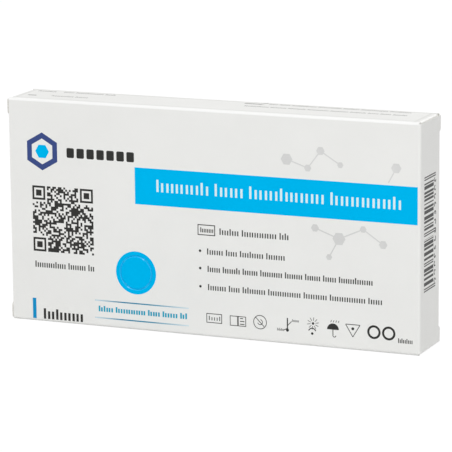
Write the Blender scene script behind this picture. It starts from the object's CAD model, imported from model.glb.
import math
import random

import bmesh
import bpy
from mathutils import Matrix, Vector, noise


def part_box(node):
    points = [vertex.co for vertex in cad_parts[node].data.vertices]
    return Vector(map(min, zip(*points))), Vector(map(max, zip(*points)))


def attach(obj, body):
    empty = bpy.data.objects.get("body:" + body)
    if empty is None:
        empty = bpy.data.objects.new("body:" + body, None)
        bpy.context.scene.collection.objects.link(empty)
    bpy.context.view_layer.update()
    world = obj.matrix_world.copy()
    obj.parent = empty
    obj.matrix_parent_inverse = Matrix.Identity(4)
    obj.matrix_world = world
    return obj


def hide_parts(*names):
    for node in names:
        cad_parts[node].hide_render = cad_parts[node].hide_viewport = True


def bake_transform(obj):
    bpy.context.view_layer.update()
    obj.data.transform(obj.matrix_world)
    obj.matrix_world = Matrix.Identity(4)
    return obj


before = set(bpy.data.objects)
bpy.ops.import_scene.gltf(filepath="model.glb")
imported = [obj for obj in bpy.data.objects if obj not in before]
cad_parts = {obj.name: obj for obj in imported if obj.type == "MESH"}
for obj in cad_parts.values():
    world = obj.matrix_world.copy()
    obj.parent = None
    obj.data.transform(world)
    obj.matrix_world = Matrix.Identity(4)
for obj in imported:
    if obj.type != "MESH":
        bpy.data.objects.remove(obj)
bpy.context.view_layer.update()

# Sleeve: one sheet of white folding boxboard, coated and printed outside and bare inside. It is die-cut
# flat, scored, folded round its corners and glued up the inside of the back panel, and the dust flaps
# turn in at both ends. A ring of cuts with four nicks lets the blue disc be pushed in for the tube.
mm = 0.001
quarter = math.radians(90)
length = 150 * mm
depth = 20 * mm
height = 78 * mm
board_t = 0.45 * mm
fold_r = 0.9 * mm
fold_l = fold_r * quarter
over = 0.35 * mm
lid_strip = 1.2 * mm
dust_flap_l = 15.1 * mm
dust_r = 3 * mm
front_y = -depth / 2
hinge_x = length / 2 - fold_r
hinge_y = front_y + fold_r
end_x = length / 2 - board_t - 0.05 * mm
lid_start_x = hinge_x - lid_strip
corner_x = hinge_x + over
flap_x = end_x - fold_r
flap_tip_x = flap_x + fold_l + dust_flap_l
dust_y0 = -8.7 * mm
dust_y1 = 8.68 * mm
slit = 0.08 * mm
glue_x0 = -72.6 * mm
glue_x1 = 62.1 * mm
glue_y = 8.63 * mm
glue_l = 11.1 * mm
seam_gap = 0.3 * mm
touch = 0.01 * mm
sharp_angle = math.radians(30)

# places of the panels on the flat sheet, up from the base's fold
front_z0 = fold_r
front_z1 = height - fold_r
top_z0 = front_z1 + fold_l
top_z1 = top_z0 + depth - 2 * fold_r
back_z0 = top_z1 + fold_l
back_z1 = back_z0 + height - fold_r - seam_gap
base_z1 = front_z0 - fold_l
base_z0 = base_z1 - (glue_y - hinge_y)
glue_z1 = base_z0 - fold_l
glue_z0 = glue_z1 - glue_l

# places in the board's list of skins: the outside's, and how far on the inside's and raw edges' come
white_skin, blue_skin, cut_skin, pressed_skin = 0, 1, 5, 6
inside_step, rim_step = 2, 4


def cut_line(bm, co, no):
    geom = bm.verts[:] + bm.edges[:] + bm.faces[:]
    bmesh.ops.bisect_plane(bm, geom=geom, dist=1e-7, plane_co=co, plane_no=no)


def cut_blank(cells):
    """Die-cuts a flat sheet, in the plane of the front panel, from cells of x0, x1, z0, z1"""
    bm = bmesh.new()
    xs = sorted({x for cell in cells for x in cell[:2]})
    zs = sorted({z for cell in cells for z in cell[2:]})
    bmesh.ops.create_grid(bm, x_segments=1, y_segments=1, size=0.5, matrix=Matrix.Rotation(quarter, 4, "X"))
    bmesh.ops.scale(bm, vec=(xs[-1] - xs[0], 1, zs[-1] - zs[0]), verts=bm.verts)
    bmesh.ops.translate(bm, vec=((xs[0] + xs[-1]) / 2, front_y, (zs[0] + zs[-1]) / 2), verts=bm.verts)
    for x in xs[1:-1]:
        cut_line(bm, (x, 0, 0), (1, 0, 0))
    for z in zs[1:-1]:
        cut_line(bm, (0, 0, z), (0, 0, 1))
    waste = []
    for face in bm.faces:
        c = face.calc_center_median()
        if not any(x0 < c.x < x1 and z0 < c.z < z1 for x0, x1, z0, z1 in cells):
            waste.append(face)
    bmesh.ops.delete(bm, geom=waste, context="FACES")
    bmesh.ops.dissolve_limit(bm, angle_limit=0.01, use_dissolve_boundaries=False, verts=bm.verts[:],
                             edges=bm.edges[:])
    return bm


def points_of(geom):
    return [g for g in geom if isinstance(g, bmesh.types.BMVert)]


def at_points(bm, points):
    return [v for v in bm.verts if any(math.hypot(v.co.x - x, v.co.z - z) < touch for x, z in points)]


def round_corners(bm, points, radius, steps=6):
    bmesh.ops.bevel(bm, geom=at_points(bm, points), offset=radius, offset_type="OFFSET", segments=steps,
                    profile=0.5, affect="VERTICES", material=-1)


def score(bm, start, along, radius, angle, steps=6, margin=0.3 * mm):
    """Cuts the lines across the sheet that a bend round a cylinder needs"""
    start, along = Vector(start), Vector(along)
    for k in range(steps + 1):
        cut_line(bm, start + along * radius * angle * k / steps, along)
    if margin:
        cut_line(bm, start - along * margin, along)
        cut_line(bm, start + along * (radius * angle + margin), along)


def fold(bm, start, along, radius, angle, chosen=None):
    """Bends what lies past the start line inwards round a cylinder, and swings the rest along"""
    start, along, inward = Vector(start), Vector(along), Vector((0, 1, 0))
    centre = start + inward * radius
    for v in bm.verts if chosen is None else chosen:
        gone = (v.co - start).dot(along)
        if gone <= 0:
            continue
        rise = (v.co - start).dot(inward)
        side = v.co - start - along * gone - inward * rise
        turn = min(gone / radius, angle)
        ahead = along * math.cos(turn) + inward * math.sin(turn)
        across = inward * math.cos(turn) - along * math.sin(turn)
        v.co = centre + side - across * (radius - rise) + ahead * (gone - turn * radius)


def settle(piece):
    """Turns a piece's modifiers into its mesh"""
    bpy.context.view_layer.update()
    evaluated = piece.evaluated_get(bpy.context.evaluated_depsgraph_get())
    done = bpy.data.meshes.new_from_object(evaluated)
    piece.modifiers.clear()
    piece.data = done


def to_piece(name, bm, materials, smooth_angle=None):
    mesh = bpy.data.meshes.new(name)
    bm.to_mesh(mesh)
    bm.free()
    piece = bpy.data.objects.new(name, mesh)
    bpy.context.scene.collection.objects.link(piece)
    for material in materials:
        mesh.materials.append(material)
    if smooth_angle is not None:
        mesh.shade_smooth()
        mesh.set_sharp_from_angle(angle=math.radians(smooth_angle))
    return piece


def to_board(name, bm):
    """Gives the folded sheet its thickness, with its bare inside and its raw edges"""
    piece = to_piece(name, bm, board_skins)
    wall = piece.modifiers.new("wall", "SOLIDIFY")
    wall.thickness = board_t
    wall.offset = -1
    wall.use_even_offset = True
    wall.use_quality_normals = True
    wall.material_offset = inside_step
    wall.material_offset_rim = rim_step
    settle(piece)
    piece.data.shade_smooth()
    piece.data.set_sharp_from_angle(angle=sharp_angle)
    return piece


def new_material(name):
    material = bpy.data.materials.new(name)
    material.use_nodes = True
    return material, material.node_tree, material.node_tree.nodes["Principled BSDF"]


def new_group(name, inputs, outputs):
    """A shader node group whose sockets all carry numbers"""
    group = bpy.data.node_groups.new(name, "ShaderNodeTree")
    for sockets, way in ((inputs, "INPUT"), (outputs, "OUTPUT")):
        for socket in sockets:
            group.interface.new_socket(socket, in_out=way, socket_type="NodeSocketFloat")
    return group, group.nodes.new("NodeGroupInput"), group.nodes.new("NodeGroupOutput")


def calc(tree, operation, *values):
    """One Math node, whose values are numbers or other nodes' sockets"""
    node = tree.nodes.new("ShaderNodeMath")
    node.operation = operation
    for socket, value in zip(node.inputs, values):
        if isinstance(value, (int, float)):
            socket.default_value = value
        else:
            tree.links.new(value, socket)
    return node.outputs[0]


def object_axes(tree):
    """A point's X, Y and Z in the object's own coordinates"""
    place = tree.nodes.new("ShaderNodeTexCoord")
    axes = tree.nodes.new("ShaderNodeSeparateXYZ")
    tree.links.new(place.outputs["Object"], axes.inputs[0])
    return axes.outputs


def blend_colours(tree, value, *stops):
    """Colours at given places from 0 to 1 along a value, running into each other between them"""
    ramp = tree.nodes.new("ShaderNodeValToRGB")
    elements = ramp.color_ramp.elements
    for element, (position, colour) in ((elements[0], stops[0]), (elements[1], stops[-1])):
        element.position = position
        element.color = (*colour, 1)
    for position, colour in stops[1:-1]:
        elements.new(position).color = (*colour, 1)
    tree.links.new(value, ramp.inputs["Fac"])
    return ramp.outputs["Color"]


def mix_colours(tree, share, under, over, way="MIX"):
    """A colour laid over another by a share that changes over the surface"""
    node = tree.nodes.new("ShaderNodeMix")
    node.data_type = "RGBA"
    node.blend_type = way
    node.inputs["B"].default_value = (*over, 1)
    tree.links.new(share, node.inputs["Factor"])
    tree.links.new(under, node.inputs["A"])
    return node.outputs["Result"]


def give_relief(tree, shader, height, distance):
    bump = tree.nodes.new("ShaderNodeBump")
    bump.inputs["Distance"].default_value = distance
    tree.links.new(height, bump.inputs["Height"])
    tree.links.new(bump.outputs["Normal"], shader.inputs["Normal"])


def fibre_group():
    """Cloudy tone and height of a paper-like sheet, from the object's own coordinates"""
    group, given, shown = new_group("fibre", ("Cloud size", "Fibre size"), ("Tone", "Height"))
    place = group.nodes.new("ShaderNodeTexCoord")
    cloud = group.nodes.new("ShaderNodeTexNoise")
    cloud.inputs["Detail"].default_value = 3
    grain = group.nodes.new("ShaderNodeTexNoise")
    grain.inputs["Detail"].default_value = 4
    grain.inputs["Distortion"].default_value = 1.5
    for texture, socket in ((cloud, "Cloud size"), (grain, "Fibre size")):
        group.links.new(place.outputs["Object"], texture.inputs["Vector"])
        group.links.new(given.outputs[socket], texture.inputs["Scale"])
    tone = calc(group, "MULTIPLY_ADD", grain.outputs["Fac"], 0.35, cloud.outputs["Fac"])
    group.links.new(tone, shown.inputs["Tone"])
    group.links.new(grain.outputs["Fac"], shown.inputs["Height"])
    return group


groove_in = 1.0 * mm
groove_w = 0.9 * mm
groove_depth = 0.08 * mm
groove_shade = (0.88, 0.88, 0.87)
bent_coating = (0.92, 0.92, 0.91)


def crease_group():
    """Masks of the grooves that the scores leave beside the folds of the top and the base, and of the top's
    folds, where the bent coating is brighter"""
    group, given, shown = new_group("crease", ("Groove width",), ("Groove", "Fold"))
    x, y, z = object_axes(group)

    def pulse(value, centre):
        gone = calc(group, "ABSOLUTE", calc(group, "SUBTRACT", value, centre))
        ramp = group.nodes.new("ShaderNodeMapRange")
        ramp.interpolation_type = "SMOOTHSTEP"
        ramp.inputs["To Min"].default_value = 1
        ramp.inputs["To Max"].default_value = 0
        group.links.new(gone, ramp.inputs["Value"])
        group.links.new(given.outputs["Groove width"], ramp.inputs["From Max"])
        return ramp.outputs["Result"]

    rise = calc(group, "ABSOLUTE", calc(group, "SUBTRACT", z, height / 2))
    from_middle = calc(group, "ABSOLUTE", y)
    on_face = calc(group, "GREATER_THAN", rise, height / 2 - 0.1 * mm)
    along = pulse(from_middle, -hinge_y - groove_in)
    across = pulse(calc(group, "ABSOLUTE", x), flap_x - groove_in)
    groove = calc(group, "MULTIPLY", calc(group, "MAXIMUM", along, across), on_face)
    group.links.new(groove, shown.inputs["Groove"])
    bent = calc(group, "MULTIPLY", calc(group, "GREATER_THAN", z, height - fold_r),
                calc(group, "GREATER_THAN", from_middle, -hinge_y))
    group.links.new(bent, shown.inputs["Fold"])
    return group


fibre = fibre_group()
crease = crease_group()


def paper_material(name, light, dark, roughness, cloud, grain, relief, sheen=0.5, groove=0):
    """A sheet whose colour drifts between two close tones. Its grain, at the scales given, and the grooves
    at its folds are its relief"""
    material, tree, shader = new_material(name)
    sheet = tree.nodes.new("ShaderNodeGroup")
    sheet.node_tree = fibre
    sheet.inputs["Cloud size"].default_value = cloud
    sheet.inputs["Fibre size"].default_value = grain
    colour = blend_colours(tree, sheet.outputs["Tone"], (0.45, dark), (0.85, light))
    relief_height = sheet.outputs["Height"]
    if groove:
        pressed = tree.nodes.new("ShaderNodeGroup")
        pressed.node_tree = crease
        pressed.inputs["Groove width"].default_value = groove_w
        colour = mix_colours(tree, pressed.outputs["Groove"], colour, groove_shade, "MULTIPLY")
        colour = mix_colours(tree, pressed.outputs["Fold"], colour, bent_coating)
        relief_height = calc(tree, "MULTIPLY_ADD", pressed.outputs["Groove"], -groove / relief, relief_height)
    tree.links.new(colour, shader.inputs["Base Color"])
    give_relief(tree, shader, relief_height, relief)
    shader.inputs["Roughness"].default_value = roughness
    shader.inputs["Specular IOR Level"].default_value = sheen
    return material


coat_fibre = (60, 2200, 0.002 * mm)
bare_fibre = (400, 3000, 0.02 * mm)
edge_fibre = (1500, 9000, 0.02 * mm)
blue_tones = ((0.0, 0.48, 0.885), (0.0, 0.465, 0.86))


def ink_material(name, light, dark, roughness=0.42, sheen=0.5):
    """Ink as smooth as the coated board that it lies on"""
    return paper_material(name, light, dark, roughness, *coat_fibre, sheen)


coated = paper_material("coated board", (0.85, 0.85, 0.83), (0.83, 0.83, 0.81), 0.42, *coat_fibre, 0.3,
                        groove_depth)
bare_board = paper_material("bare board", (0.80, 0.78, 0.73), (0.70, 0.68, 0.62), 0.9, *bare_fibre, 0.25)
raw_edge = paper_material("raw edge", (0.80, 0.79, 0.75), (0.62, 0.61, 0.57), 0.95, *edge_fibre, 0.2)
blue_board = ink_material("blue ink", *blue_tones, 0.6, 0.0)
stained_edge = paper_material("stained edge", (0.0, 0.40, 0.74), (0.0, 0.34, 0.64), 0.9, *edge_fibre, 0.0)
pressed_blue = ink_material("pressed blue", *blue_tones, 0.3, 0.35)
board_skins = [coated, blue_board, bare_board, bare_board, raw_edge, stained_edge, pressed_blue,
               bare_board, bare_board]


def sleeve_cells():
    """The blank as cells. Each end of the top and the base has a corner by the lid's fold, a dust flap and
    a corner by the tuck flap, with slits between them"""
    right_end = [(hinge_y, dust_y0 - slit, corner_x), (dust_y0 - slit, dust_y0, flap_x),
                 (dust_y0, dust_y1, flap_tip_x), (dust_y1, dust_y1 + slit, flap_x),
                 (dust_y1 + slit, -hinge_y, end_x)]
    left_end = [(-y1, -y0, -x) for y0, y1, x in right_end]
    cells = []
    for y0, y1, x in right_end + left_end:
        x0, x1 = min(0, x), max(0, x)
        cells.append((x0, x1, top_z0 + y0 - hinge_y, top_z0 + y1 - hinge_y))
        if y0 < glue_y:
            cells.append((x0, x1, base_z1 - min(y1, glue_y) + hinge_y, base_z1 - y0 + hinge_y))
    # the long folds reach over each lid's ends, and stop short beside them
    cells.append((-end_x, hinge_x, front_z1, top_z0))
    cells.append((-end_x, hinge_x, base_z1, front_z0))
    cells.append((-hinge_x, end_x, top_z1, back_z0))
    cells.append((hinge_x, corner_x, front_z1 + over, top_z0))
    cells.append((hinge_x, corner_x, base_z1, front_z0 - over))
    cells.append((-corner_x, -hinge_x, top_z1, back_z0 - over))
    cells.append((-end_x, lid_start_x, front_z0, front_z1))
    cells.append((-lid_start_x, end_x, back_z0, back_z1))
    cells.append((glue_x0, glue_x1, glue_z0, base_z0))
    return cells


sleeve_bm = cut_blank(sleeve_cells())
for v in at_points(sleeve_bm, [(glue_x0, glue_z0), (glue_x1, glue_z0)]):
    v.co.x -= math.copysign(glue_l / 2, v.co.x)
dust_corners = []
for turned in (1, -1):
    for y in (dust_y0 * turned, dust_y1 * turned):
        dust_corners.append((turned * flap_tip_x, top_z0 + y - hinge_y))
        if y < glue_y:
            dust_corners.append((turned * flap_tip_x, base_z1 - y + hinge_y))
        else:
            dust_corners.append((turned * flap_tip_x, base_z0))
round_corners(sleeve_bm, dust_corners, dust_r)

# the disc: printed edge, a ring cut into the board with pressed rims, and the nicks that hold it
hole = Vector((-27.4 * mm, front_y, 20 * mm))
patch = 9 * mm
around = 64
disc_r = 7.5 * mm
cut_r = 5.8 * mm
cut_w = 0.1 * mm
cut_depth = 0.24 * mm
slope_w = 0.3 * mm
rings = ((disc_r, 0, white_skin), (cut_r + cut_w + slope_w, 0, blue_skin),
         (cut_r + cut_w, cut_depth, pressed_skin), (cut_r, cut_depth, cut_skin),
         (cut_r - slope_w, 0, pressed_skin))
for sign in (-1, 1):
    cut_line(sleeve_bm, hole + Vector((sign * patch, 0, 0)), (1, 0, 0))
    cut_line(sleeve_bm, hole + Vector((0, 0, sign * patch)), (0, 0, 1))
window = min(sleeve_bm.faces, key=lambda f: (f.calc_center_bounds() - hole).length)
window_edges = list(window.edges)
bmesh.ops.delete(sleeve_bm, geom=[window], context="FACES_ONLY")
bmesh.ops.subdivide_edges(sleeve_bm, edges=window_edges, cuts=around // 4 - 1)
loop = [e for e in sleeve_bm.edges if all((v.co - hole).length < 1.5 * patch for v in e.verts)]
for radius, dent, skin in rings:
    made = bmesh.ops.extrude_edge_only(sleeve_bm, edges=loop)["geom"]
    verts = points_of(made)
    ring = [g for g in made if isinstance(g, bmesh.types.BMFace)]
    loop = [e for e in sleeve_bm.edges if e.verts[0] in verts and e.verts[1] in verts]
    for v in verts:
        out = Vector((v.co.x, front_y, v.co.z)) - hole
        v.co = hole + out.normalized() * radius + Vector((0, dent, 0))
    for face in ring:
        face.material_index = skin
    if skin == cut_skin:
        cut_ring = ring
bmesh.ops.contextual_create(sleeve_bm, geom=loop)["faces"][0].material_index = blue_skin
for k in range(4):
    angle = math.radians(45 + 90 * k)
    spot = hole + Vector((math.cos(angle), 0, math.sin(angle))) * cut_r
    nick = min(cut_ring, key=lambda f: (f.calc_center_median() - spot).length)
    nick.material_index = blue_skin
    for v in nick.verts:
        v.co.y = front_y + cut_depth / 3
sleeve_bm.normal_update()
bmesh.ops.reverse_faces(sleeve_bm, faces=[f for f in sleeve_bm.faces if f.normal.y > 0])

for side in (-1, 1):
    score(sleeve_bm, (side * flap_x, front_y, 0), (side, 0, 0), fold_r, quarter)
for z, way in ((top_z1, 1), (front_z1, 1), (base_z0, -1), (front_z0, -1)):
    score(sleeve_bm, (0, front_y, z), (0, 0, way), fold_r, quarter)
for side in (-1, 1):
    y0, y1 = sorted((side * dust_y0, side * dust_y1))
    reach = [(top_z0 + y0 - hinge_y, top_z0 + y1 - hinge_y), (base_z1 - y1 + hinge_y, base_z1 - y0 + hinge_y)]
    flap = []
    for v in sleeve_bm.verts:
        if v.co.x * side > flap_x and any(z0 - slit / 4 < v.co.z < z1 + slit / 4 for z0, z1 in reach):
            flap.append(v)
    fold(sleeve_bm, (side * flap_x, front_y, 0), (side, 0, 0), fold_r, quarter, flap)
upper = [v for v in sleeve_bm.verts if v.co.z > height / 2]
lower = [v for v in sleeve_bm.verts if v.co.z < height / 2]
for z, way, part in ((top_z1, 1, upper), (front_z1, 1, upper), (base_z0, -1, lower), (front_z0, -1, lower)):
    fold(sleeve_bm, (0, front_y, z), (0, 0, way), fold_r, quarter, part)
sleeve = to_board("sleeve", sleeve_bm)
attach(sleeve, "carton")
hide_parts("carton_body")

# Lids: the sleeve's own board goes on round the vertical fold, so each lid starts on the panel that it
# hangs on. Two slits free its shoulders, and the tuck flap is folded over and curls into the carton.
panel_l = 17.63 * mm
tuck_arc_r = 18.53 * mm
tuck_reach = 11 * mm
tuck_angle = math.asin(tuck_reach / tuck_arc_r)
tuck_r = 6 * mm
shoulder_l = 5.3 * mm
shoulder_out = 1.47 * mm
shoulder_r = 1.2 * mm
outer_r = 0.4 * mm
edge_gap = 0.6 * mm
tuck_gap = 0.5 * mm
tuck_step = 0.3 * mm
lid_z0 = edge_gap
lid_z1 = height - edge_gap
crease_x = hinge_x + fold_l + panel_l
tuck_x = crease_x + fold_l
tuck_end_x = tuck_x + tuck_arc_r * tuck_angle


def lid_cells():
    cells = [(hinge_x, crease_x, lid_z0, lid_z1), (lid_start_x, hinge_x, front_z0, front_z1)]
    cells.append((crease_x, tuck_end_x, lid_z0 + shoulder_l + slit, lid_z1 - shoulder_l - slit))
    cells.append((tuck_x + tuck_step, tuck_end_x, lid_z0 + tuck_gap, lid_z1 - tuck_gap))
    for z0, z1 in ((lid_z0, lid_z0 + shoulder_l), (lid_z1 - shoulder_l, lid_z1)):
        cells.append((crease_x, crease_x + shoulder_out, z0, z1))
    return cells


def make_lid(node, turned):
    """Folds the right lid. The left one is the same, turned half round"""
    bm = cut_blank(lid_cells())
    tip_x = crease_x + shoulder_out
    round_corners(bm, [(tip_x, lid_z0 + shoulder_l), (tip_x, lid_z1 - shoulder_l)], shoulder_r)
    round_corners(bm, [(tip_x, lid_z0), (tip_x, lid_z1)], outer_r, 3)
    round_corners(bm, [(tuck_end_x, lid_z0 + tuck_gap), (tuck_end_x, lid_z1 - tuck_gap)], tuck_r, 10)
    score(bm, (hinge_x, front_y, 0), (1, 0, 0), fold_r, quarter)
    score(bm, (crease_x, front_y, 0), (1, 0, 0), fold_r, quarter)
    score(bm, (tuck_x, front_y, 0), (1, 0, 0), tuck_arc_r, tuck_angle, 10, 0)
    bm.normal_update()
    bmesh.ops.reverse_faces(bm, faces=[f for f in bm.faces if f.normal.y > 0])
    tab_z0 = lid_z0 + shoulder_l + slit / 2
    tab_z1 = lid_z1 - shoulder_l - slit / 2
    tab = [v for v in bm.verts if v.co.x >= tip_x + touch or tab_z0 < v.co.z < tab_z1]
    fold(bm, (tuck_x, front_y, 0), (1, 0, 0), tuck_arc_r, tuck_angle, tab)
    fold(bm, (crease_x, front_y, 0), (1, 0, 0), fold_r, quarter, tab)
    fold(bm, (hinge_x, front_y, 0), (1, 0, 0), fold_r, quarter)
    if turned:
        bmesh.ops.rotate(bm, cent=(0, 0, 0), matrix=Matrix.Rotation(math.pi, 3, "Z"), verts=bm.verts)
    lid = to_board(node + "_board", bm)
    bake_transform(lid)
    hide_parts(node)


make_lid("right_lid", False)
make_lid("left_lid", True)

# Blue ink: the band across the front, the thin rules and their line of words, and the tick at the foot.
# Every ink is a film of print, drawn as fields of colour. The words are strokes that say nothing.
ink_t = 0.015 * mm
ink_lift = 0.003 * mm
front_panel = Matrix.Translation((0, front_y, 0)) @ Matrix.Rotation(quarter, 4, "X")
top_panel = Matrix.Translation((0, 0, height))
right_panel = Matrix.Translation((length / 2, 0, 0)) @ Matrix(
    ((0, 0, 1, 0), (1, 0, 0, 0), (0, 1, 0, 0), (0, 0, 0, 1)))
x_height = 0.74
word_space = 0.34
tall_chance = 0.15
pair_chance = 0.8


def field(bm, x0, y0, x1, y1, run, width, turn=0):
    """A rectangle of ink in the middle of two points, in millimetres on the panel"""
    place = Matrix.Translation(((x0 + x1) / 2 * mm, (y0 + y1) / 2 * mm, 0)) @ Matrix.Rotation(
        turn, 4, "Z") @ Matrix.Diagonal((run * mm, width * mm, 1, 1))
    return bmesh.ops.create_grid(bm, x_segments=1, y_segments=1, size=0.5, matrix=place)["verts"]


def bar(bm, x0, y0, x1, y1, radius=0):
    """A field of ink between two corners"""
    verts = field(bm, x0, y0, x1, y1, x1 - x0, y1 - y0)
    if radius:
        bmesh.ops.bevel(bm, geom=verts, offset=radius * mm, offset_type="OFFSET", segments=4, profile=0.5,
                        affect="VERTICES", material=-1)


def dot(bm, x, y, radius, sides=24, turn=0):
    place = Matrix.Translation((x * mm, y * mm, 0)) @ Matrix.Rotation(math.radians(turn), 4, "Z")
    bmesh.ops.create_circle(bm, cap_ends=True, radius=radius * mm, segments=sides, matrix=place)


def line(bm, x0, y0, x1, y1, width):
    field(bm, x0, y0, x1, y1, math.hypot(x1 - x0, y1 - y0), width, math.atan2(y1 - y0, x1 - x0))


def arc(bm, x, y, radius, width, start=0, sweep=360, steps=32):
    """A ring of ink, or a part of one"""
    turn = Matrix.Rotation(math.radians(start), 3, "Z")
    centre = Vector((x * mm, y * mm, 0))
    ends = [bm.verts.new(centre + turn @ Vector((r * mm, 0, 0))) for r in (radius - width, radius)]
    edge = bm.edges.new(ends)
    bmesh.ops.spin(bm, geom=ends + [edge], cent=centre, axis=(0, 0, 1), angle=math.radians(sweep),
                   steps=steps, use_merge=sweep == 360)


def outline(bm, x0, y0, x1, y1, width):
    """A thin frame"""
    bar(bm, x0, y0, x1, y0 + width)
    bar(bm, x0, y1 - width, x1, y1)
    bar(bm, x0, y0 + width, x0 + width, y1 - width)
    bar(bm, x1 - width, y0 + width, x1, y1 - width)


def words(bm, x0, y0, x1, size, seed, stroke=0.2, wide=0.4, gap=0.18):
    """A line of type as thin strokes that say nothing, with its strokes and gaps in shares of its size"""
    draw = random.Random(seed)
    strokes = []
    x = 0
    while x < (x1 - x0) / size - 0.9:
        for letter in range(draw.choice((3, 4, 5, 7, 8))):
            strokes.append((x, 1 if letter == 0 or draw.random() < tall_chance else x_height))
            if draw.random() < pair_chance:
                x += wide
                strokes.append((x, x_height))
            x += stroke + gap
        x += word_space
    strokes = [(x, tall) for x, tall in strokes if x < (x1 - x0) / size]
    stretch = (x1 - x0 - stroke * size) / strokes[-1][0]
    for x, tall in strokes:
        bar(bm, x0 + x * stretch, y0, x0 + x * stretch + stroke * size, y0 + size * tall)


def to_ink(name, bm, material, node, panel=front_panel, body="carton"):
    """A finished print, which lies on its panel as a film"""
    bmesh.ops.translate(bm, vec=(0, 0, ink_lift), verts=bm.verts)
    bmesh.ops.transform(bm, matrix=panel, verts=bm.verts)
    bmesh.ops.recalc_face_normals(bm, faces=bm.faces)
    outwards = panel.to_3x3() @ Vector((0, 0, 1))
    bm.normal_update()
    bmesh.ops.reverse_faces(bm, faces=[f for f in bm.faces if f.normal.dot(outwards) < 0])
    piece = to_piece(name, bm, [material])
    film = piece.modifiers.new("film", "SOLIDIFY")
    film.thickness = ink_t
    film.offset = 1
    settle(piece)
    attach(piece, body)
    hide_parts(node)


blue_bm = bmesh.new()
bar(blue_bm, -27.3, 43.98, 74.05, 56.62)
to_ink("blue_print", blue_bm, blue_board, "print_blue")

# the rules are dark between pale ends, and the tick beside them is a clearer blue
rule_x0, rule_x1 = -43.0, -7.9
rules_bm = bmesh.new()
for z in (3.15, 9.25):
    line(rules_bm, rule_x0, z, rule_x1, z, 0.42)
bar(rules_bm, -66.95, 0.9, -65.6, 8.1)
rule_blue, rule_tree, rule_shader = new_material("rule blue")
rule_run = rule_tree.nodes.new("ShaderNodeMapRange")
rule_run.inputs["From Min"].default_value = rule_x0 * mm
rule_run.inputs["From Max"].default_value = rule_x1 * mm
rule_tree.links.new(object_axes(rule_tree)[0], rule_run.inputs["Value"])
rule_fade = blend_colours(rule_tree, rule_run.outputs["Result"], (0, (0.005, 0.28, 0.58)),
                          (0.001, (0.60, 0.75, 0.82)), (0.3, (0.02, 0.22, 0.37)),
                          (0.6, (0.03, 0.27, 0.42)), (1, (0.66, 0.78, 0.83)))
rule_tree.links.new(rule_fade, rule_shader.inputs["Base Color"])
rule_shader.inputs["Roughness"].default_value = 0.5
rule_shader.inputs["Specular IOR Level"].default_value = 0.1
to_ink("rules", rules_bm, rule_blue, "print_blue")

teal_ink = ink_material("teal ink", (0.0, 0.36, 0.53), (0.0, 0.33, 0.50), 0.5, 0.1)
teal_bm = bmesh.new()
words(teal_bm, -41.7, 5.4, -8.6, 2.0, 3, 0.31, 0.45, 0.2)
to_ink("teal_words", teal_bm, teal_ink, "print_blue")

# White words: gaps left open in the band, where the coated board shows through. The blue beside such
# thin strokes spreads a little, so they come out tinted.
white_bm = bmesh.new()
words(white_bm, -19.3, 48.7, 68.3, 4.2, 11, 0.19, 0.46, 0.22)
white_ink = ink_material("white ink", (0.72, 0.89, 0.93), (0.70, 0.87, 0.91))
for v in white_bm.verts:
    v.co.z += 2 * ink_t
to_ink("white_print", white_bm, white_ink, "print_white")

# Dark ink on the front: a square code, lines of words, a framed word and a list, which say nothing, and
# a row of plain symbols along the foot. The square code has an eye in three of its corners.
dark_ink = ink_material("dark ink", (0.030, 0.030, 0.028), (0.024, 0.024, 0.022), 0.45, 0.2)
dark_bm = bmesh.new()
code_x, code_z, code_side = -66.15, 24.85, 23.0
modules = 33
eye = 7
far_eye = modules - eye
module = code_side / modules
draw = random.Random(42)
for j in range(modules):
    lit = [draw.random() < 0.56 for i in range(modules)]
    for i in range(modules):
        if j >= far_eye - 1 and (i <= eye or i >= far_eye - 1) or j <= eye and i <= eye:
            lit[i] = False
    i = 0
    while i < modules:
        run = 0
        while i + run < modules and lit[i + run]:
            run += 1
        if run:
            x, z = code_x + i * module, code_z + j * module
            bar(dark_bm, x, z, x + run * module, z + module)
        i += run + 1
for u, w in ((0, 0), (0, 1), (1, 1)):
    x, z = code_x + u * far_eye * module, code_z + w * far_eye * module
    outline(dark_bm, x, z, x + eye * module, z + eye * module, module)
    bar(dark_bm, x + 2 * module, z + 2 * module, x + 5 * module, z + 5 * module)
outline(dark_bm, -4.3, 35.0, 2.1, 38.7, 0.3)
for row in ((-65.6, 19.2, -43.2, 2.2, 5), (-62.8, 1.0, -47.8, 3.7, 6, 0.24, 0.42, 0.2),
            (-3.3, 36.0, 1.4, 1.7, 7), (3.7, 35.6, 28.6, 2.2, 8), (-0.5, 5.8, 3.6, 1.5, 31),
            (29.8, 7.8, 32.2, 0.9, 33), (24.4, 4.4, 26.8, 0.9, 34), (67.4, 3.9, 72.4, 1.6, 36)):
    words(dark_bm, *row)
for z, x0, x1, seed in ((29.6, -0.9, 27.2, 20), (23.6, -0.8, 58.4, 21), (17.3, -0.7, 61.7, 22)):
    dot(dark_bm, -3.5, z, 0.45)
    words(dark_bm, x0, z - 1.1, x1, 2.1, seed)

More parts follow.
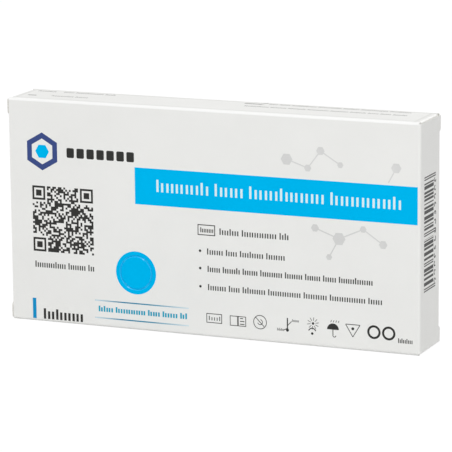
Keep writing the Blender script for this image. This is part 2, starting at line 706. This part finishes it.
# plain symbols along the foot: frame, book, barred ring, bulb on a stem, sun, umbrella, triangle, hoops
hair = 0.24
outline(dark_bm, -1.4, 4.9, 4.3, 8.2, hair)
for x in (7.2, 10.15):
    outline(dark_bm, x, 4.6, x + 2.95, 8.1, hair)
for z, x1 in ((5.2, 12.5), (6.2, 12.5), (7.2, 12.0)):
    bar(dark_bm, 10.9, z, x1, z + 0.3)
arc(dark_bm, 18.2, 6.7, 2.45, hair)
line(dark_bm, 16.6, 8.3, 19.8, 5.1, hair)
arc(dark_bm, 18.2, 6.7, 1.0, hair, 200, 240, 12)
bar(dark_bm, 27.9, 5.0, 28.3, 9.0)
dot(dark_bm, 28.1, 4.8, 0.55, 16)
line(dark_bm, 28.2, 6.4, 29.6, 7.9, hair)
line(dark_bm, 28.0, 5.4, 26.6, 4.6, hair)
sun_x, sun_z = 37.3, 7.9
dot(dark_bm, sun_x, sun_z, 0.45, 12)
for k in range(10):
    angle = math.radians(36 * k + 10)
    u, w = math.cos(angle), math.sin(angle)
    line(dark_bm, sun_x + 0.9 * u, sun_z + 0.9 * w, sun_x + 2.1 * u, sun_z + 2.1 * w, 0.18)
arc(dark_bm, 37.0, 4.9, 1.5, 0.35, 20, 140, 12)
dot(dark_bm, 37.0, 4.4, 0.45, 12)
arc(dark_bm, 44.4, 6.4, 2.1, 2.05, 0, 180, 16)
bar(dark_bm, 44.25, 4.4, 44.55, 6.5)
arc(dark_bm, 44.9, 4.4, 0.65, 0.25, 180, 180, 8)
for k in range(4):
    line(dark_bm, 43.6 + 0.9 * k, 8.9, 43.9 + 0.9 * k, 9.6, 0.2)
for x0, z0, x1, z1 in ((48.9, 8.7, 54.0, 8.7), (48.9, 8.7, 51.45, 4.5), (54.0, 8.7, 51.45, 4.5)):
    line(dark_bm, x0, z0, x1, z1, hair)
dot(dark_bm, 51.45, 7.3, 0.5, 16)
for x in (58.9, 64.1):
    arc(dark_bm, x, 6.8, 2.35, 0.75, 0, 360, 32)
to_ink("dark_print", dark_bm, dark_ink, "print_dark")

# Small print on the top panel: words that say nothing, a block and a tick, in a greyer ink than the
# front's
top_bm = bmesh.new()
bar(top_bm, -70.5, -3.5, -67.3, -2.4)
for x0, y0, x1, size, seed in ((-61.7, -2.8, -48.2, 1.7, 41), (-70.8, 5.2, -64.1, 1.7, 40),
                               (-60.9, 5.2, -41.5, 1.7, 42), (15.4, 6.0, 65.8, 1.6, 43),
                               (8.6, 0.4, 66.3, 1.6, 44)):
    words(top_bm, x0, y0, x1, size, seed)
bar(top_bm, 6.7, 5.2, 12.9, 6.3)
line(top_bm, 12.6, 5.9, 14.2, 9.0, 0.7)
grey_ink = ink_material("grey ink", (0.29, 0.29, 0.28), (0.26, 0.26, 0.25), 0.45)
to_ink("top_print", top_bm, grey_ink, "print_dark", top_panel)

# Maker's place: a plain hexagon in two blues and a row of rounded blocks, which name nobody. The small
# hexagon lies inside the navy one, printed in the band's blue.
mark_x, mark_z = -62.1, 59.9
block_x, block_pitch = -52.8, 3.75
navy_ink = ink_material("navy ink", (0.02, 0.05, 0.22), (0.018, 0.045, 0.20))
navy_bm = bmesh.new()
arc(navy_bm, mark_x, mark_z, 6.6, 2.1, 30, 360, 6)
to_ink("navy_mark", navy_bm, navy_ink, "print_grey")
cyan_bm = bmesh.new()
dot(cyan_bm, mark_x, mark_z, 2.6, 6, 30)
to_ink("cyan_mark", cyan_bm, blue_board, "print_grey")
name_bm = bmesh.new()
draw = random.Random(5)
for k in range(7):
    x = block_x + block_pitch * k
    bar(name_bm, x, 58.3, x + draw.choice((2.2, 2.8, 2.8)), 61.7, 0.5)
to_ink("mark_blocks", name_bm, dark_ink, "print_grey")

# Pale grey ink: a loose net of hexagonal atoms, joined by thin bonds, that runs across the front. Each
# atom has its distance from the right fold and from the top, and its width.
pale_ink = ink_material("pale ink", (0.70, 0.70, 0.69), (0.63, 0.63, 0.62))
pale_bm = bmesh.new()
net = ((46, 15, 4.2), (38.5, 17.5, 2.6), (34, 11.5, 3), (27, 15.8, 2.2), (7.5, 15.6, 3.6),
       (36, 37.5, 2.8), (27.5, 40.6, 4.6), (19, 36.8, 2.4), (12, 41.5, 3), (31, 47, 2.2))
atoms = [(hinge_x / mm - x, height / mm - z, d / 2) for x, z, d in net]
bonds = ((0, 1), (1, 2), (2, 3), (5, 6), (6, 7), (7, 8), (6, 9))
for x, z, r in atoms:
    dot(pale_bm, x, z, r, 6, 30)


def hexagon_side(radius, heading):
    """How far a hexagon, whose corner lies on the X axis, reaches in a direction"""
    return radius * math.cos(math.radians(30)) / math.cos(math.radians(math.degrees(heading) % 60 - 30))


for (x0, z0, r0), (x1, z1, r1) in [(atoms[a], atoms[b]) for a, b in bonds] + [(atoms[4], (63.9, 57.4, 0))]:
    heading = math.atan2(z1 - z0, x1 - x0)
    ux, uz = math.cos(heading), math.sin(heading)
    leave, arrive = hexagon_side(r0, heading), hexagon_side(r1, heading)
    line(pale_bm, x0 + ux * leave, z0 + uz * leave, x1 - ux * arrive, z1 - uz * arrive, 0.42)
to_ink("pale_print", pale_bm, pale_ink, "print_grey")

# Bar code on the right lid: generic bars between longer guard bars, with a column of round strokes in
# place of digits beside them
code_bm = bmesh.new()
draw = random.Random(17)
thin = 0.39
bar_y0, bar_y1, guard_y1 = -6.2, 3.0, 5.0
guards = (21.0, 39.7, 58.4)
for z in guards:
    for step in (-thin, thin):
        bar(code_bm, bar_y0, z + step, guard_y1, z + step + thin)
for start, end in ((guards[0] + 1.6, guards[1] - 1.4), (guards[1] + 1.6, guards[2] - 1.4)):
    z = start
    while z < end:
        width = thin * draw.choice((1, 1, 2, 2, 3))
        bar(code_bm, bar_y0, z, bar_y1, min(z + width, end))
        z += width + thin * draw.choice((1, 1, 2, 2))
for k in range(13):
    arc(code_bm, 4.5, 22.6 + 2.85 * k, 0.95, 0.5, 40 * k, 230, 10)
code_ink = ink_material("code ink", (0.07, 0.07, 0.069), (0.065, 0.065, 0.064), 0.45, 0.2)
to_ink("bar_code", code_bm, code_ink, "barcode", right_panel, "right_lid")

# Foil pouch: two webs of aluminium laminate, heat-sealed all round over the cassette and the drying sachet.
# They cling to what lies inside and pucker round it. A notch in each side seal starts the tear.
pouch_low, pouch_high = map(Vector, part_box("foil_pouch"))
pouch_mid = (pouch_low + pouch_high) / 2
pouch_l = pouch_high.x - pouch_low.x
seal_w = 8 * mm
rib_pitch = 0.9 * mm
notch_z = 22.4 * mm
notch_depth = 1.6 * mm
notch_reach = 6 * mm


def ease(t):
    t = min(max(t, 0), 1)
    return t * t * (3 - 2 * t)


def mound(gone, half, soft):
    """1 within half of the middle, and down to 0 over the next soft"""
    return ease((half + soft - abs(gone)) / soft)


def pouch_rise(x, z, side):
    """How far one web stands off the pouch's middle plane, in millimetres"""
    slack = ease(4 * (1 - abs(x) / 56)) * ease(2 * (1 - abs(z) / 24))
    cassette = mound(x + 15, 35, 8) * mound(z - 3, 10, 7)
    sachet = mound(x - 41, 8, 4) * mound(z - 3, 8, 4)
    rise = 0.2 + max(0.8 * slack, 2.1 * cassette, 1.0 * sachet)
    ridge = 1 - abs(noise.noise(Vector((0.11 * x, 0.23 * z, 7 * side)))) * 3
    pucker = 0.3 * ridge * slack * (1 - cassette) * (1 - sachet)
    return min(max(rise + pucker, 0.2), 2.28)


def seal_group():
    """Ribs that the sealing jaws press into a seal, from -1 to 1, and 0 in the rectangle inside the seal"""
    group, given, shown = new_group("seal ribs", ("Middle X", "Middle Z", "Inner half X", "Inner half Z"),
                                    ("Ribs",))
    axes = object_axes(group)
    past = []
    for axis in ("X", "Z"):
        gone = calc(group, "ABSOLUTE", calc(group, "SUBTRACT", axes[axis], given.outputs["Middle " + axis]))
        past.append(calc(group, "SUBTRACT", gone, given.outputs["Inner half " + axis]))
    into = calc(group, "MAXIMUM", *past)
    wave = calc(group, "SINE", calc(group, "MULTIPLY", into, math.tau / rib_pitch))
    in_seal = calc(group, "GREATER_THAN", into, 0.3 * mm)
    group.links.new(calc(group, "MULTIPLY", wave, in_seal), shown.inputs["Ribs"])
    return group


seal_ribs = seal_group()


def film_material(name, colour, roughness, metal, alpha, crinkle, relief, seal=None):
    """A laminate or film with crinkles at the given scale. A sealed one gives its corners, the seal's width
    and the ribs' share of the relief"""
    material, tree, shader = new_material(name)
    place = tree.nodes.new("ShaderNodeTexCoord")
    folds = tree.nodes.new("ShaderNodeTexNoise")
    folds.inputs["Scale"].default_value = crinkle
    folds.inputs["Detail"].default_value = 4
    folds.inputs["Distortion"].default_value = 0.8
    tree.links.new(place.outputs["Object"], folds.inputs["Vector"])
    relief_height = folds.outputs["Fac"]
    if seal:
        low, high, width, rib = seal
        middle, half = (low + high) / 2, (high - low) / 2
        ribs = tree.nodes.new("ShaderNodeGroup")
        ribs.node_tree = seal_ribs
        ribs.inputs["Middle X"].default_value = middle.x
        ribs.inputs["Middle Z"].default_value = middle.z
        ribs.inputs["Inner half X"].default_value = half.x - width
        ribs.inputs["Inner half Z"].default_value = half.z - width
        relief_height = calc(tree, "MULTIPLY_ADD", ribs.outputs["Ribs"], rib, relief_height)
    give_relief(tree, shader, relief_height, relief)
    dim = [0.93 * c for c in colour]
    tone = blend_colours(tree, folds.outputs["Fac"], (0, dim), (1, colour))
    tree.links.new(tone, shader.inputs["Base Color"])
    gloss = tree.nodes.new("ShaderNodeMapRange")
    gloss.inputs["To Min"].default_value = roughness * 0.8
    gloss.inputs["To Max"].default_value = roughness * 1.2
    tree.links.new(folds.outputs["Fac"], gloss.inputs["Value"])
    tree.links.new(gloss.outputs["Result"], shader.inputs["Roughness"])
    shader.inputs["Metallic"].default_value = metal
    shader.inputs["Alpha"].default_value = alpha
    return material


def to_content(name, bm, material, node, smooth_angle=None, thickness=0):
    """A finished piece of the contents, which takes its CAD node's place"""
    piece = to_piece(name, bm, [material], smooth_angle)
    if thickness:
        wall = piece.modifiers.new("wall", "SOLIDIFY")
        wall.thickness = thickness
        wall.offset = 0
        wall.use_even_offset = True
        settle(piece)
        if smooth_angle is not None:
            piece.data.set_sharp_from_angle(angle=math.radians(smooth_angle))
    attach(piece, "carton")
    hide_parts(node)


def web_grid(bm, low, high, y, columns, rows):
    """A flat upright web between two corners"""
    place = Matrix.Translation(((low.x + high.x) / 2, y, (low.z + high.z) / 2)) @ Matrix.Rotation(
        quarter, 4, "X") @ Matrix.Diagonal((high.x - low.x, high.z - low.z, 1, 1))
    return bmesh.ops.create_grid(bm, x_segments=columns, y_segments=rows, size=0.5, matrix=place)["verts"]


pouch_bm = bmesh.new()
for side in (-1, 1):
    for v in web_grid(pouch_bm, pouch_low, pouch_high, pouch_mid.y, 160, 80):
        gone = v.co - pouch_mid
        v.co.y += side * pouch_rise(gone.x / mm, gone.z / mm, side) * mm
        past = abs(gone.x) - pouch_l / 2 + notch_reach
        if abs(gone.z - notch_z) < 0.1 * mm and past > 0:
            v.co.x -= math.copysign(notch_depth * past / notch_reach, gone.x)
rim = [e for e in pouch_bm.edges if e.is_boundary and e.verts[0].co.y < pouch_mid.y]
for v in points_of(bmesh.ops.extrude_edge_only(pouch_bm, edges=rim)["geom"]):
    v.co.y = 2 * pouch_mid.y - v.co.y
bmesh.ops.remove_doubles(pouch_bm, verts=pouch_bm.verts, dist=touch)
bmesh.ops.recalc_face_normals(pouch_bm, faces=pouch_bm.faces)
foil = film_material("foil laminate", (0.80, 0.81, 0.82), 0.36, 0.85, 1, 240, 0.12 * mm,
                     (pouch_low, pouch_high, seal_w, 0.25))
to_content("pouch_webs", pouch_bm, foil, "foil_pouch", 50)

# Leaflet: a sheet of thin white paper, folded to and fro in six layers. Its print is rows of strokes in
# three columns, which say nothing.
layer_t = 0.14 * mm
layer_pitch = 0.2 * mm
line_pitch = 2.1 * mm
letter_w = 0.6 * mm
column_w = 43.34 * mm


def folded_sheet(low, high, layers):
    """Draws the folded sheet's middle line from its end, up and down, and draws that out along X"""
    bm = bmesh.new()
    turn_r = layer_pitch / 2
    rest = turn_r + layer_t / 2
    run = high.z - low.z - 2 * rest
    tip = bm.verts.new((low.x, low.y + layer_t / 2, low.z + rest))
    for layer in range(layers):
        way = 1 if layer % 2 == 0 else -1
        tip = bmesh.ops.extrude_vert_indiv(bm, verts=[tip])["verts"][0]
        tip.co.z += way * run
        if layer < layers - 1:
            turned = bmesh.ops.spin(bm, geom=[tip], cent=tip.co + Vector((0, turn_r, 0)), axis=(-1, 0, 0),
                                    angle=way * math.pi, steps=6)["geom_last"]
            tip = points_of(turned)[0]
    other_side = points_of(bmesh.ops.extrude_edge_only(bm, edges=bm.edges[:])["geom"])
    bmesh.ops.translate(bm, vec=(high.x - low.x, 0, 0), verts=other_side)
    bmesh.ops.recalc_face_normals(bm, faces=bm.faces)
    return bm


leaflet_low, leaflet_high = map(Vector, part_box("leaflet"))


def type_mask(tree):
    """1 on the strokes of small type: some letters of some lines, in columns with gaps between them"""
    x, y, z = object_axes(tree)
    row = calc(tree, "DIVIDE", z, line_pitch)
    row_number = calc(tree, "FLOOR", row)
    cell = tree.nodes.new("ShaderNodeCombineXYZ")
    tree.links.new(calc(tree, "FLOOR", calc(tree, "DIVIDE", x, letter_w)), cell.inputs["X"])
    tree.links.new(row_number, cell.inputs["Y"])
    letters = tree.nodes.new("ShaderNodeTexWhiteNoise")
    letters.noise_dimensions = "2D"
    tree.links.new(cell.outputs[0], letters.inputs["Vector"])
    lines = tree.nodes.new("ShaderNodeTexWhiteNoise")
    lines.noise_dimensions = "1D"
    tree.links.new(row_number, lines.inputs["W"])
    column = calc(tree, "FRACT", calc(tree, "DIVIDE", calc(tree, "SUBTRACT", x, leaflet_low.x), column_w))
    from_middle = calc(tree, "ABSOLUTE", calc(tree, "SUBTRACT", column, 0.5))
    inked = calc(tree, "GREATER_THAN", letters.outputs["Value"], 0.25)
    for limit in (calc(tree, "LESS_THAN", calc(tree, "FRACT", row), 0.42),
                  calc(tree, "GREATER_THAN", lines.outputs["Value"], 0.15),
                  calc(tree, "LESS_THAN", from_middle, 0.44)):
        inked = calc(tree, "MULTIPLY", inked, limit)
    return inked


leaflet_paper = paper_material("leaflet paper", (0.86, 0.86, 0.84), (0.80, 0.80, 0.78), 0.85, 300, 4000,
                               0.01 * mm, 0.3)
type_tree = leaflet_paper.node_tree
type_shader = type_tree.nodes["Principled BSDF"]
type_share = calc(type_tree, "MULTIPLY", type_mask(type_tree), 0.8)
plain_paper = type_shader.inputs["Base Color"].links[0].from_socket
typed_paper = mix_colours(type_tree, type_share, plain_paper, (0.20, 0.20, 0.21))
type_tree.links.new(typed_paper, type_shader.inputs["Base Color"])
to_content("leaflet_sheet", folded_sheet(leaflet_low, leaflet_high, 6), leaflet_paper, "leaflet",
           40, layer_t)

# Waste bag: blown milky film, pressed flat and folded in three. It lies loose among the contents, and
# its crinkles catch the light.
bag_film = film_material("bag film", (0.82, 0.85, 0.88), 0.16, 0, 0.5, 45, 2.5 * mm)
to_content("bag_folds", folded_sheet(*map(Vector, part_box("waste_bag")), 3), bag_film, "waste_bag",
           40, layer_t)

# Peel pouch: a web of white paper and one of clear film, heat-sealed all round the swab. The paper stays
# flat, and the film rises over the swab and creases where it comes down.
paper_low, paper_high = map(Vector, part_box("swab_paper"))
film_low, film_high = map(Vector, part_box("swab_film"))
web_t = 0.12 * mm
peel_seal = 4 * mm
peel_paper = film_material("peel paper", (0.86, 0.87, 0.88), 0.8, 0, 1, 900, 0.03 * mm,
                           (paper_low, paper_high, peel_seal, 0.8))
paper_bm = bmesh.new()
web_grid(paper_bm, paper_low, paper_high, (paper_low.y + paper_high.y) / 2, 46, 8)
to_content("peel_paper_web", paper_bm, peel_paper, "swab_paper", None, web_t)

peel_film = film_material("peel film", (0.86, 0.89, 0.91), 0.1, 0, 0.2, 120, 0.15 * mm,
                          (film_low, film_high, peel_seal, 0.3))
film_bm = bmesh.new()
film_mid = (film_low + film_high) / 2
film_top = film_high.y - film_low.y - web_t
for v in web_grid(film_bm, film_low, film_high, film_high.y - web_t / 2, 184, 44):
    gone = (v.co - film_mid) / mm
    raised = mound(gone.x, 61, 5) * mound(gone.z, 2.1, 3.9)
    crease = 0.5 * (1 - raised) * raised * noise.noise(Vector((0.5 * gone.x, 0.3 * gone.z, 3)))
    v.co.y -= film_top * raised + crease * mm
to_content("peel_film_web", film_bm, peel_film, "swab_film", 50, web_t)

# Swab: a moulded stick with a thin neck, and on its end a tip of short white fibres, flocked on with
# glue. The tip swells from the neck and has a round end.
tip_low, tip_high = map(Vector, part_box("swab_tip"))
tip_axis = (tip_low + tip_high) / 2
tip_axis.x = 0
tip_r = 1.62 * mm
tip_l = tip_high.x - tip_low.x - 0.1 * mm
tip_steps = 90
fuzz = 0.07 * mm
tip_bm = bmesh.new()
for k in range(tip_steps + 1):
    gone = tip_l * k / tip_steps
    near = min(1, 0.42 + 0.58 * ease(gone / (3 * mm)))
    far = max(0, gone - tip_l + tip_r) / tip_r
    radius = tip_r * near * math.sqrt(max(0, 1 - far * far)) if k else 0
    tip_bm.verts.new(tip_axis + Vector((tip_low.x + gone, 0, radius)))
tip_bm.verts.ensure_lookup_table()
profile = [tip_bm.edges.new(tip_bm.verts[k:k + 2]) for k in range(tip_steps)]
bmesh.ops.spin(tip_bm, geom=tip_bm.verts[:] + profile, cent=tip_axis, axis=(1, 0, 0), angle=math.tau,
               steps=72, use_merge=True)
bmesh.ops.remove_doubles(tip_bm, verts=tip_bm.verts, dist=0.002 * mm)
for v in tip_bm.verts:
    out = v.co - tip_axis
    out.x = 0
    if out.length > 0.1 * mm:
        v.co += out.normalized() * fuzz * noise.noise(v.co / mm * 3.5)
bmesh.ops.recalc_face_normals(tip_bm, faces=tip_bm.faces)
flock = paper_material("flock", (0.88, 0.88, 0.86), (0.80, 0.80, 0.78), 1.0, 900, 5000, 0.12 * mm, 0.1)
to_content("flock_tip", tip_bm, flock, "swab_tip", 60)


def dress(material, *nodes):
    """Gives its finish to CAD nodes whose shape is right"""
    for node in nodes:
        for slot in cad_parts[node].material_slots:
            slot.material = material


mould_relief = 0.004 * mm
stick_plastic = paper_material("stick plastic", (0.86, 0.86, 0.84), (0.82, 0.82, 0.80), 0.35, 90, 1500,
                               mould_relief)
dress(stick_plastic, "swab_stick")

# Tube and cap: moulded soft plastics, the tube's clear enough to show the buffer in it. A disc of foil,
# sealed on the tube's flange, is peeled off before use.
cap_plastic = paper_material("cap plastic", (0.85, 0.86, 0.88), (0.81, 0.82, 0.84), 0.32, 60, 1500,
                             mould_relief)
dress(cap_plastic, "nozzle_cap")
dress(film_material("tube plastic", (0.86, 0.88, 0.90), 0.22, 0, 0.5, 70, 0.01 * mm), "buffer_tube")
dress(film_material("buffer", (0.72, 0.84, 0.90), 0.05, 0, 0.6, 40, 0.002 * mm), "buffer_liquid")
dress(foil, "tube_seal")

# Floor: a plain pale sheet of matt paint, which runs out of the picture on every side. To the camera it
# is nearly all white light, so only the soft shadow shows.
floor_bm = bmesh.new()
bmesh.ops.create_grid(floor_bm, x_segments=1, y_segments=1, size=4)
floor_paint, floor_tree, floor_shader = new_material("floor")
floor_shader.inputs["Base Color"].default_value = (0.8, 0.8, 0.8, 1)
floor_shader.inputs["Roughness"].default_value = 0.9
floor_shader.inputs["Specular IOR Level"].default_value = 0.1
glow = floor_tree.nodes.new("ShaderNodeEmission")
glow.inputs["Strength"].default_value = 1.06
rays = floor_tree.nodes.new("ShaderNodeLightPath")
mix = floor_tree.nodes.new("ShaderNodeMixShader")
floor_tree.links.new(calc(floor_tree, "MULTIPLY", rays.outputs["Is Camera Ray"], 0.9), mix.inputs["Fac"])
floor_tree.links.new(floor_shader.outputs[0], mix.inputs[1])
floor_tree.links.new(glow.outputs[0], mix.inputs[2])
floor_tree.links.new(mix.outputs[0], floor_tree.nodes["Material Output"].inputs["Surface"])
floor = to_piece("floor", floor_bm, [floor_paint])

# Light: an even white surround, seen as plain white, a soft lamp above in front on the right, and a weaker
# one low behind
world = bpy.data.worlds.new("surround")
bpy.context.scene.world = world
world.use_nodes = True
sky_tree = world.node_tree
sky = sky_tree.nodes["Background"]
sky.inputs["Color"].default_value = (1, 1, 1, 1)
sky_rays = sky_tree.nodes.new("ShaderNodeLightPath").outputs
seen = calc(sky_tree, "MAXIMUM", sky_rays["Is Camera Ray"], sky_rays["Is Glossy Ray"])
level = sky_tree.nodes.new("ShaderNodeMapRange")
level.inputs["To Min"].default_value = 0.607
level.inputs["To Max"].default_value = 1.0
sky_tree.links.new(calc(sky_tree, "MAXIMUM", seen, sky_rays["Is Transmission Ray"]), level.inputs["Value"])
sky_tree.links.new(level.outputs["Result"], sky.inputs["Strength"])

lamps = (("key lamp", (0.38, -0.95, 1.25), 0.5, 10.9), ("back lamp", (0.1, 1.7, 0.35), 0.6, 5))
for name, place, size, energy in lamps:
    lamp = bpy.data.lights.new(name, "AREA")
    lamp.shape = "DISK"
    lamp.size = size
    lamp.energy = energy
    lamp_holder = bpy.data.objects.new(name, lamp)
    lamp_holder.location = place
    lamp_holder.rotation_euler = (-Vector(place)).to_track_quat("-Z", "Y").to_euler()
    bpy.context.scene.collection.objects.link(lamp_holder)

# Camera: a long lens in front, to the right and above, held level but for half a degree, at the distance
# from which the carton's edges run together as they do in the picture
camera = bpy.data.cameras.new("camera")
camera.sensor_width = 36
camera.lens = 240.14
camera.clip_start = 0.05
camera_holder = bpy.data.objects.new("camera", camera)
camera_holder.location = (0.39424, -0.91973, 0.24578)
camera_holder.rotation_euler = (math.radians(78.1797), math.radians(0.53303), math.radians(22.9942))
bpy.context.scene.collection.objects.link(camera_holder)
bpy.context.scene.camera = camera_holder
bpy.context.scene.view_settings.view_transform = "Standard"
